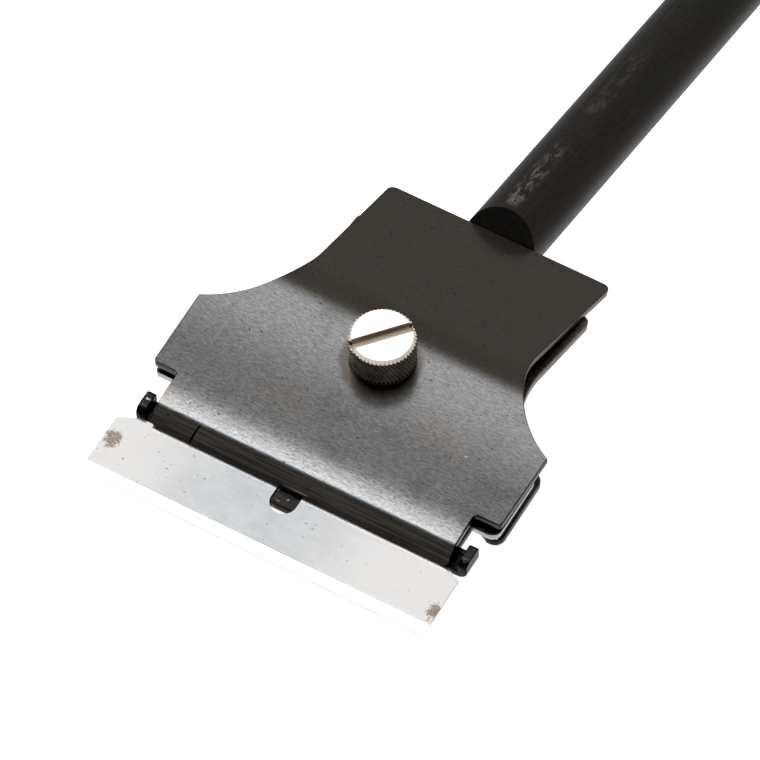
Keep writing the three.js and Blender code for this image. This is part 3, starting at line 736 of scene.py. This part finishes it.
def knurl_tones(s, radius, stain):
    """Bright crests and brown dirt between the teeth."""
    raised = s.span(radius, HEAD["radius"] - KNURL["depth"], HEAD["radius"] - 0.03)
    knurl = s.mix(raised, (0.16, 0.13, 0.1, 1), (0.95, 0.88, 0.78, 1))
    return s.mix(s.span(stain, 0.45, 0.65, 0, 0.6), knurl, (0.3, 0.25, 0.2, 1))


def nickel_plate():
    """The screw's head: bright nickel on top, a yellower ring on the chamfer, dirt in the slot and knurl."""
    rim = HEAD["radius"] - HEAD["chamfer"]
    side_top = HEAD["top"] - HEAD["chamfer"]
    s = Shader("nickel_plate")
    seat = s.coordinates(SEAT)
    x, along, above = s.parts(seat)
    offset = s.math("SUBTRACT", along, SCREW_ALONG)
    radius = s.math("SQRT", s.math("ADD", s.math("MULTIPLY", x, x), s.math("MULTIPLY", offset, offset)))
    stain = s.noise(seat, scale=1.1, detail=5, roughness=0.6)
    plate = s.mix(s.span(stain, 0.35, 0.7), (0.9, 0.885, 0.86, 1), (0.84, 0.82, 0.78, 1))
    ring = s.mix(s.span(stain, 0.3, 0.7), (0.88, 0.8, 0.68, 1), (0.98, 0.92, 0.82, 1))
    on_chamfer = s.span(radius, rim - 0.07, rim)
    plate = s.mix(on_chamfer, plate, ring)
    inside_rim = s.span(radius, rim, rim - 0.06)
    sunk = s.math("MULTIPLY", s.span(above, HEAD["top"] - 0.03, HEAD["top"] - 0.08), inside_rim)
    on_top = s.span(above, side_top - 0.04, side_top + 0.04)
    tone = s.mix(on_top, knurl_tones(s, radius, stain), plate)
    tone = s.mix(sunk, tone, slot_dirt(s, above, stain))
    rough = s.math("ADD", s.span(on_top, 0, 1, 0.3, 0.16, smooth=False), s.math("MULTIPLY", sunk, 0.4))
    dull = s.math("MAXIMUM", sunk, s.math("MULTIPLY", on_top, on_chamfer))
    s.set(Base_Color=tone, Metallic=s.span(dull, 0, 1, 1, 0.15, smooth=False), Roughness=rough)
    s.bump(stain, 0.08, 0.03)
    return s.material


def plated(name, tone_low, tone_high, rough_low, rough_high, bare):
    """A small turned or rolled metal part."""
    s = Shader(name)
    tool = s.coordinates(TOOL)
    fine = s.noise(s.stretched(tool, (3, 3, 9)), detail=5, roughness=0.6)
    cloudy = s.noise(tool, scale=0.5, detail=4, roughness=0.6)
    tone = s.mix(s.span(cloudy, 0.3, 0.7), tone_low, tone_high)
    tone = s.mix(s.span(fine, 0.4, 0.7, 0, 0.4), tone, tone_high)
    tone = s.mix(s.span(cloudy, 0.62, 0.72, 0, 0.5), tone, bare)
    s.set(Base_Color=tone, Metallic=1.0, Roughness=s.span(fine, 0.3, 0.7, rough_low, rough_high))
    s.bump(fine, 0.12, 0.03)
    return s.material


def moulded(name, low, high, rough, grain_size, grain_depth):
    """Moulded plastic with a fine grain, paler where hands rub it."""
    s = Shader(name)
    tool = s.coordinates(TOOL)
    grain = s.noise(tool, scale=grain_size, detail=4, roughness=0.65)
    cloudy = s.noise(tool, scale=0.06, detail=4, roughness=0.6)
    tone = s.mix(s.span(cloudy, 0.35, 0.65), grey(low, -0.03), grey(high, -0.02))
    tone = s.mix(s.span(grain, 0.55, 0.8, 0, 0.4), tone, grey(high * 1.8))
    s.set(Base_Color=tone, Metallic=0.0, Roughness=s.span(grain, 0.3, 0.7, rough - 0.06, rough + 0.06))
    s.bump(grain, 0.35, grain_depth)
    return s.material


BLUED = blued_sheet()
BASE_DARK = base_steel()
SPACER_SHADE_AND_HIGHLIGHT = spacer_shade_and_highlight()
ROD_BLACK = rod_steel()
BLADE_BRIGHT = blade_steel()
NICKEL = nickel_plate()
WASHER_BLACK = plated("dark_washer", grey(0.02, 0.05), grey(0.04, 0.05), 0.35, 0.5, grey(0.2))
BRASS = plated("brass_bush", (0.42, 0.27, 0.1, 1), (0.56, 0.38, 0.15, 1), 0.24, 0.36, (0.75, 0.58, 0.3, 1))
ZINC = plated("zinc_steel", grey(0.36), grey(0.5, 0.01), 0.26, 0.42, grey(0.7))
RIVET = plated("rivet_steel", grey(0.07, 0.05), grey(0.13, 0.04), 0.3, 0.45, grey(0.45))
GRIP_SOFT = moulded("grip_plastic", 0.018, 0.028, 0.6, 5, 0.08)
CAP_HARD = moulded("cap_plastic", 0.026, 0.036, 0.42, 3.5, 0.04)

# ---- head ----


def clamp_sheet():
    """The bent top sheet: rolled lip, side notches, slit, screw hole and concave rear sides."""
    top = CLAMP_TOP / math.cos(PITCH) + CLAMP_RIDGE * math.tan(PITCH) - EDGE_DROP
    drop = (NOSE["along"] - LIP["face"] - LIP_BACK) * math.tan(NOSE["slope"])
    path = Path(
        [
            from_seat(LIP["face"], LIP["bottom"]),
            (*from_seat(LIP["face"] + LIP_BACK, CLAMP_TOP - drop), LIP["radius"]),
            (*from_seat(NOSE["along"], CLAMP_TOP), NOSE["radius"]),
            (CLAMP_RIDGE, top, RIDGE_RADIUS),
            CLAMP_REAR,
        ]
    )
    at = path.length_at
    right = [(CLAMP_REAR_HALF, at(CLAMP_REAR[0]), CLAMP_REAR_ROUND)]
    right += [(x, at(y)) for x, y in reversed(flare(CLAMP_WAIST_HALF, FLARE_START, SHOULDER))]
    right += [
        (NOTCH["outer"], at(NOTCH["rear"]), NOTCH["outer_round"]),
        (NOTCH["inner"], at(NOTCH["rear"]), NOTCH["inner_round"]),
        (NOTCH["inner"], 0, LIP["corner"]),
    ]
    low, high, half = SLIT["x"], SLIT["x"] + SLIT["lean"], SLIT["width"] / 2
    slit = [(low + half, 0), (high + half, SLIT["high"]), (high - half, SLIT["high"]), (low - half, 0)]
    left = [(-x, *rest) for x, *rest in reversed(right)]
    loops = [outline(right + slit + left), circle(0, at(from_seat(SCREW_ALONG, CLAMP_TOP)[0]), CLAMP_HOLE)]
    plate = bent_plate("clamp_sheet", loops, path, CLAMP_THICKNESS, ROUNDED["clamp"], TOOL)
    piece(plate, "clamp", "blued_sheet", BLUED, "clamp_plate")


def base_sheet():
    """The bottom sheet: front tongue, two wings, and a bend where it leaves the seat for the rod's flat."""
    bend = (BASE_TOP + EDGE_DROP) / math.tan(PITCH)
    path = Path([from_seat(0, 0), (bend, BASE_TOP, BASE_BEND), (BASE_REAR + 1, BASE_TOP)])
    at = path.length_at
    tip = (WING_HALF - WING_REAR_FLAT, WING_REAR)
    side = [(BASE_REAR_HALF, at(BASE_REAR), BASE_REAR_ROUND)]
    side += [(x, at(y)) for x, y in reversed(flare(BASE_WAIST_HALF, FLARE_START, tip))]
    side += [(WING_HALF, at(WING_REAR), WING_ROUND)]
    right = [
        (WING_HALF, EAR["front"], WING_ROUND),
        (EAR["outer"], EAR["front"], 0.3),
        (EAR["inner"], WING_FRONT),
        (TONGUE_HALF, WING_FRONT, 0.5),
        (TONGUE_HALF, TONGUE_FRONT, TONGUE_ROUND),
    ]
    left = [
        (-TONGUE_HALF, TONGUE_FRONT, TONGUE_ROUND),
        (-TONGUE_HALF, WING_FRONT, 0.5),
        (-WING_HALF, WING_FRONT, 1.2),
    ]
    rim = outline(side + right + left + [(-x, *rest) for x, *rest in reversed(side)])
    holes = [circle(0, SCREW_ALONG, BUSH_HOLE)]
    holes += [circle(x, y, SPACER_RIVET_HOLE, 20) for x, y in SPACER_RIVETS]
    holes += [circle(0, at(y), BASE_RIVET_HOLE, 24) for y in BASE_RIVETS.values()]
    plate = bent_plate("base_sheet", [rim, *holes], path, BASE_THICKNESS, ROUNDED["base"], TOOL)
    piece(plate, "handle", "blued_sheet", BASE_DARK, "base_plate")


def blade_lug(name, side):
    """An arm of the base sheet, bent up beside the blade."""
    path = Path([(LUG["root"], 0), (LUG["inner"], 0, LUG["bend"]), (LUG["inner"], LUG["height"])])
    end = path.lengths[-1]
    corners = [
        (LUG["front"], 0),
        (LUG["rear"], 0),
        (LUG["rear"], end, LUG_ROUND["rear"]),
        (LUG["front"], end, LUG_ROUND["front"]),
    ]
    rim = outline([(-side * along, *rest) for along, *rest in corners])
    outward = placing(EDGE, Vector((side, 0, 0)), SEAT_NORMAL)
    lug = bent_plate(name, [rim], path, BASE_THICKNESS, ROUNDED["lug"], outward)
    piece(lug, "handle", "blued_sheet", BASE_DARK, "base_plate")


def spacer_sheet():
    """The middle sheet: two arms beside the blade's space, joined behind it."""
    half = SPACER["half"]
    slot = SPACER_SLOT["half"]
    right = [
        (slot - SPACER["rear_corner"], SPACER["rear"], SPACER_ROUND["rear"]),
        (half, SPACER["side_end"], SPACER_ROUND["side"]),
        (half, SPACER["right"], SPACER_ROUND["right"]),
        (slot, SPACER["right"], SPACER_ROUND["mouth"]),
        (slot, SPACER_SLOT["end"], SPACER_SLOT["round"]),
    ]
    left = [
        (-slot, SPACER_SLOT["end"], SPACER_SLOT["round"]),
        (-slot, SPACER["left"], SPACER_ROUND["mouth"]),
        (-half, SPACER["left"], SPACER_ROUND["side"]),
        (-half, SPACER["side_end"], SPACER_ROUND["side"]),
        (SPACER["rear_corner"] - slot, SPACER["rear"], SPACER_ROUND["rear"]),
    ]
    holes = [circle(0, SCREW_ALONG, BUSH_HOLE)]
    holes += [circle(x, y, SPACER_RIVET_HOLE, 20) for x, y in SPACER_RIVETS]
    level = SPACER_GAP + SPACER_THICKNESS
    path = Path([(0, level), (SPACER["rear"], level)])
    loops = [outline(right + left), *holes]
    plate = bent_plate("spacer_sheet", loops, path, SPACER_THICKNESS, ROUNDED["spacer"], SEAT)
    piece(plate, "handle", "blued_sheet", SPACER_SHADE_AND_HIGHLIGHT, "spacer_plate")


def knurled_radius(radius, height, angle):
    """Slanted teeth round the head's side, and plain metal elsewhere."""
    if radius < HEAD["radius"] - 0.05:
        return radius
    lean = KNURL["slant"] * (height - HEAD["bottom"]) / HEAD["radius"]
    share = KNURL["teeth"] * (angle + lean) / (2 * math.pi)
    return radius - KNURL["depth"] * abs(2 * (share % 1) - 1)


def threaded(pitch, depth, crest):
    """A radius function that winds a groove of a depth into the side at the radius crest."""

    def radius_at(radius, height, angle):
        if abs(radius - crest) > 1e-6:
            return radius
        turns = height / pitch - angle / (2 * math.pi)
        return radius - depth * abs(2 * (turns % 1) - 1)

    return radius_at


def thread_side(radius, low, high, step):
    """A straight side as points close enough together to carry a thread."""
    count = max(1, round((high - low) / step))
    return [(radius, low + (high - low) * k / count) for k in range(count + 1)]


def screw_head():
    """The knurled head, with a screwdriver slot."""
    place = SEAT @ Matrix.Translation((0, SCREW_ALONG, 0))
    radius, top, bottom, chamfer = HEAD["radius"], HEAD["top"], HEAD["bottom"], HEAD["chamfer"]
    rise = (top - chamfer - bottom - HEAD["foot"]) / KNURL["steps"]
    profile = [(0, bottom), (radius - HEAD["foot_inset"], bottom)]
    profile += [(radius, bottom + HEAD["foot"] + rise * k) for k in range(KNURL["steps"] + 1)]
    profile += [(radius - chamfer, top), (radius - chamfer - 0.05, top), (0, top)]
    around = KNURL["teeth"] * KNURL["points_per_tooth"]
    head = turned("screw_head", profile, place, segments=around, radius_at=knurled_radius)
    half = SLOT["width"] / 2
    reach = radius + 1
    points = [(-reach, -half), (reach, -half), (reach, half), (-reach, half)]
    turn = Matrix.Rotation(SLOT["turn"], 4, "Z")
    cut(head, prism("slot", points, top - SLOT["depth"], top + 1, place @ turn))
    piece(shade(head, 30), "screw", "nickel_plate", NICKEL, "thumb_screw")


def screw_shank():
    """The threaded shank, with the ring's groove near its end and a plain neck that enters the head."""
    crest = SCREW["radius"]
    plain = crest - 0.05
    neck = crest - 0.1
    neck_end = HEAD["bottom"] + 0.1
    groove = SCREW_GROOVE
    profile = [(0, SCREW["end"]), (crest - SCREW["point_inset"], SCREW["end"])]
    profile += [(plain, SCREW["end"] + SCREW["point"]), (plain, groove["bottom"])]
    profile += [(groove["radius"], groove["bottom"]), (groove["radius"], groove["top"])]
    profile += [(plain, groove["top"])]
    profile += thread_side(crest, groove["top"] + 0.1, HEAD["bottom"] - 1, SCREW_THREAD["step"])
    profile += [(neck, HEAD["bottom"] - SCREW["neck"]), (neck, neck_end), (0, neck_end)]
    place = SEAT @ Matrix.Translation((0, SCREW_ALONG, 0))
    thread = threaded(SCREW_THREAD["pitch"], SCREW_THREAD["depth"], crest)
    shank = turned("screw_shank", profile, place, segments=48, radius_at=thread)
    piece(shade(shank, 45), "screw", "nickel_plate", ZINC, "thumb_screw")


def screw_washer():
    """The dark ring under the head."""
    outer, inner, low, high = WASHER["outer"], WASHER["inner"], WASHER["bottom"], WASHER["top"]
    rim = ROUNDED["washer"]
    profile = [
        (inner, low),
        (outer - rim, low),
        (outer, low + rim),
        (outer, high - rim),
        (outer - rim, high),
        (inner, high),
        (inner, low),
    ]
    ring = turned("washer_ring", profile, SEAT @ Matrix.Translation((0, SCREW_ALONG, 0)))
    piece(shade(ring, 32), "screw_carriage", "dark_washer", WASHER_BLACK, "screw_washer")


def rod_profile():
    """The round bar as (radius, height) points: chamfered front, shoulder and threaded tail."""
    radius = ROD_RADIUS
    tail, start, end, chamfer = TAIL["radius"], TAIL["start"], TAIL["end"], TAIL["chamfer"]
    profile = [(0, ROD_FRONT), (radius - ROD_CHAMFER, ROD_FRONT), (radius, ROD_FRONT + ROD_CHAMFER)]
    profile += [(radius, ROD_MIDDLE), (radius, start - chamfer), (radius - chamfer, start)]
    profile += [(tail - 0.05, start)]
    profile += thread_side(tail, start + 0.2, end - chamfer, TAIL["step"])
    profile += [(tail - chamfer, end), (0, end)]
    return profile


def rod_bar():
    """The round bar: a milled flat with a sloping step and two rivet holes, and a threaded tail."""
    thread = threaded(TAIL["pitch"], TAIL["depth"], TAIL["radius"])
    bar = turned("rod_bar", rod_profile(), ALONG_ROD, segments=128, radius_at=thread)
    clear = 2 * ROD_RADIUS
    step = [
        (ROD_FRONT - clear, ROD_FLAT),
        (ROD_STEP + ROD_STEP_SLOPE * ROD_FLAT, ROD_FLAT),
        (ROD_STEP + ROD_STEP_SLOPE * clear, clear),
        (ROD_FRONT - clear, clear),
    ]
    sideways = placing(AXIS_START, Vector((0, 0, 1)), Vector((1, 0, 0)))
    cut(bar, prism("milled", step, -clear, clear, sideways))
    wide, level = BASE_RIVET_HEAD["radius"], BASE_RIVET_HEAD["level"]
    sink = [(0, -clear), (wide, -clear), (wide, level)]
    sink += [(BASE_RIVET_HOLE, level), (BASE_RIVET_HOLE, clear), (0, clear)]
    for y in BASE_RIVETS.values():
        cut(bar, turned("rivet_hole", sink, TOOL @ Matrix.Translation((0, y, 0)), segments=48))
    soften(bar, ROUNDED["rod"] * MM, 38)
    piece(shade(bar, 28), "handle", "rod_steel", ROD_BLACK, "rod")


def carried_over(node, material):
    """A CAD node whose shape is right: it keeps its mesh and takes a material."""
    obj = frame["nodes"][node]
    obj.data.materials.clear()
    obj.data.materials.append(material)


clamp_sheet()
base_sheet()
blade_lug("lug_right", 1)
blade_lug("lug_left", -1)
spacer_sheet()
screw_head()
screw_shank()
screw_washer()
rod_bar()
carried_over("blade", BLADE_BRIGHT)
carried_over("threaded_bush", BRASS)
carried_over("retaining_ring", ZINC)
for rivet_node in [name for name in frame["nodes"] if "rivet" in name]:
    carried_over(rivet_node, RIVET)
for metal_node in ("grip_ferrule", "grip_pin", "nut_washer", "end_nut"):
    carried_over(metal_node, ZINC)
carried_over("grip", GRIP_SOFT)
carried_over("end_cap", CAP_HARD)

# ---- stage, in metres and degrees ----

CAMERA_TURN = {"azimuth": 22.78, "elevation": 42.67, "roll": 9.44}
CAMERA = {"distance": 0.695, "lens": 331.9, "sensor": 36, "clip": 0.01}
AIM_OFFSET = Vector((0.0007, -0.00224, 0.00132))
LIGHTS = {
    "overhead": {
        "direction": (-0.285, 0.25, 0.925),
        "distance": 0.8,
        "size": (0.7, 0.28),
        "radiance": 1.35,
    },
    "nose_light": {
        "direction": (-0.285, -0.12, 0.951),
        "distance": 0.8,
        "size": (0.6, 0.225),
        "radiance": 10,
    },
    "front_fill": {
        "direction": (0.6, -0.6, 0.5),
        "distance": 1.2,
        "size": (0.3, 0.3),
        "radiance": 1.0,
    },
}
FLOOR_REACH = 3
FLOOR_GAP = 0.0005


def stage_camera():
    """The camera, turned about the screw's foot and aimed a little beside it."""
    azimuth, elevation, roll = (math.radians(angle) for angle in CAMERA_TURN.values())
    outward = math.cos(elevation)
    back = Vector((math.sin(azimuth) * outward, -math.cos(azimuth) * outward, math.sin(elevation)))
    level = Vector((math.cos(azimuth), math.sin(azimuth), 0))
    right = level * math.cos(roll) + back.cross(level) * math.sin(roll)
    up = back.cross(right)
    data = bpy.data.cameras.new("camera")
    data.sensor_width = CAMERA["sensor"]
    data.lens = CAMERA["lens"]
    data.clip_start = CAMERA["clip"]
    camera = bpy.data.objects.new("camera", data)
    turn = Matrix((right, up, back)).transposed().to_4x4()
    camera.matrix_world = Matrix.Translation(SCREW_FOOT + AIM_OFFSET + back * CAMERA["distance"]) @ turn
    bpy.context.scene.collection.objects.link(camera)
    bpy.context.scene.camera = camera


def softbox(name, direction, distance, size, radiance):
    """A white rectangular light that faces the head, with its first side across the tool."""
    data = bpy.data.lights.new(name, "AREA")
    data.shape = "RECTANGLE"
    data.size, data.size_y = size
    data.energy = radiance * math.pi * size[0] * size[1]
    light = bpy.data.objects.new(name, data)
    direction = Vector(direction).normalized()
    across = Vector((0, 1, 0)).cross(direction).normalized()
    turn = Matrix((across, direction.cross(across), direction)).transposed().to_4x4()
    light.matrix_world = Matrix.Translation(SCREW_FOOT + direction * distance) @ turn
    bpy.context.scene.collection.objects.link(light)


def pale_floor():
    """A pale table just under the part, left out of the part's reflections."""
    s = Shader("floor")
    cloudy = s.noise(s.coordinates(TOOL), scale=0.01, detail=2)
    s.set(Base_Color=s.mix(cloudy, grey(0.9), grey(0.92)), Roughness=0.9, Metallic=0.0)
    s.set(Emission_Color=(1, 1, 1, 1), Emission_Strength=0.9)
    below = cad_box[0][2] - FLOOR_GAP
    reach = FLOOR_REACH
    points = [(-reach, -reach), (reach, -reach), (reach, reach), (-reach, reach)]
    mesh = bpy.data.meshes.new("floor")
    mesh.from_pydata([(x, y, below) for x, y in points], [], [(0, 1, 2, 3)])
    mesh.materials.append(s.material)
    floor = add_object("floor", mesh)
    floor.visible_glossy = False


def surroundings():
    """A dim grey room, brighter behind the tool than in front of it, over a bright table."""
    world = bpy.data.worlds.new("room")
    world.use_nodes = True
    tree = world.node_tree
    split = tree.nodes.new("ShaderNodeSeparateXYZ")
    tree.links.new(tree.nodes.new("ShaderNodeTexCoord").outputs["Generated"], split.inputs[0])

    def ramp(value, low, high, to_low, to_high):
        """value from low..high to to_low..to_high, held outside."""
        made = tree.nodes.new("ShaderNodeMapRange")
        for name, number in zip(("From Min", "From Max", "To Min", "To Max"), (low, high, to_low, to_high)):
            made.inputs[name].default_value = number
        tree.links.new(value, made.inputs["Value"])
        return made.outputs["Result"]

    room = ramp(split.outputs["Y"], -0.6, 0.9, 0.12, 0.42)
    table = ramp(split.outputs["Z"], -0.3, -0.55, 0, 0.5)
    total = tree.nodes.new("ShaderNodeMath")
    tree.links.new(room, total.inputs[0])
    tree.links.new(table, total.inputs[1])
    tree.links.new(total.outputs[0], tree.nodes["Background"].inputs["Strength"])
    tree.nodes["Background"].inputs["Color"].default_value = (1, 0.985, 0.965, 1)
    bpy.context.scene.world = world


stage_camera()
pale_floor()
surroundings()
for light_name, settings in LIGHTS.items():
    softbox(light_name, **settings)
bpy.context.scene.view_settings.view_transform = "Standard"
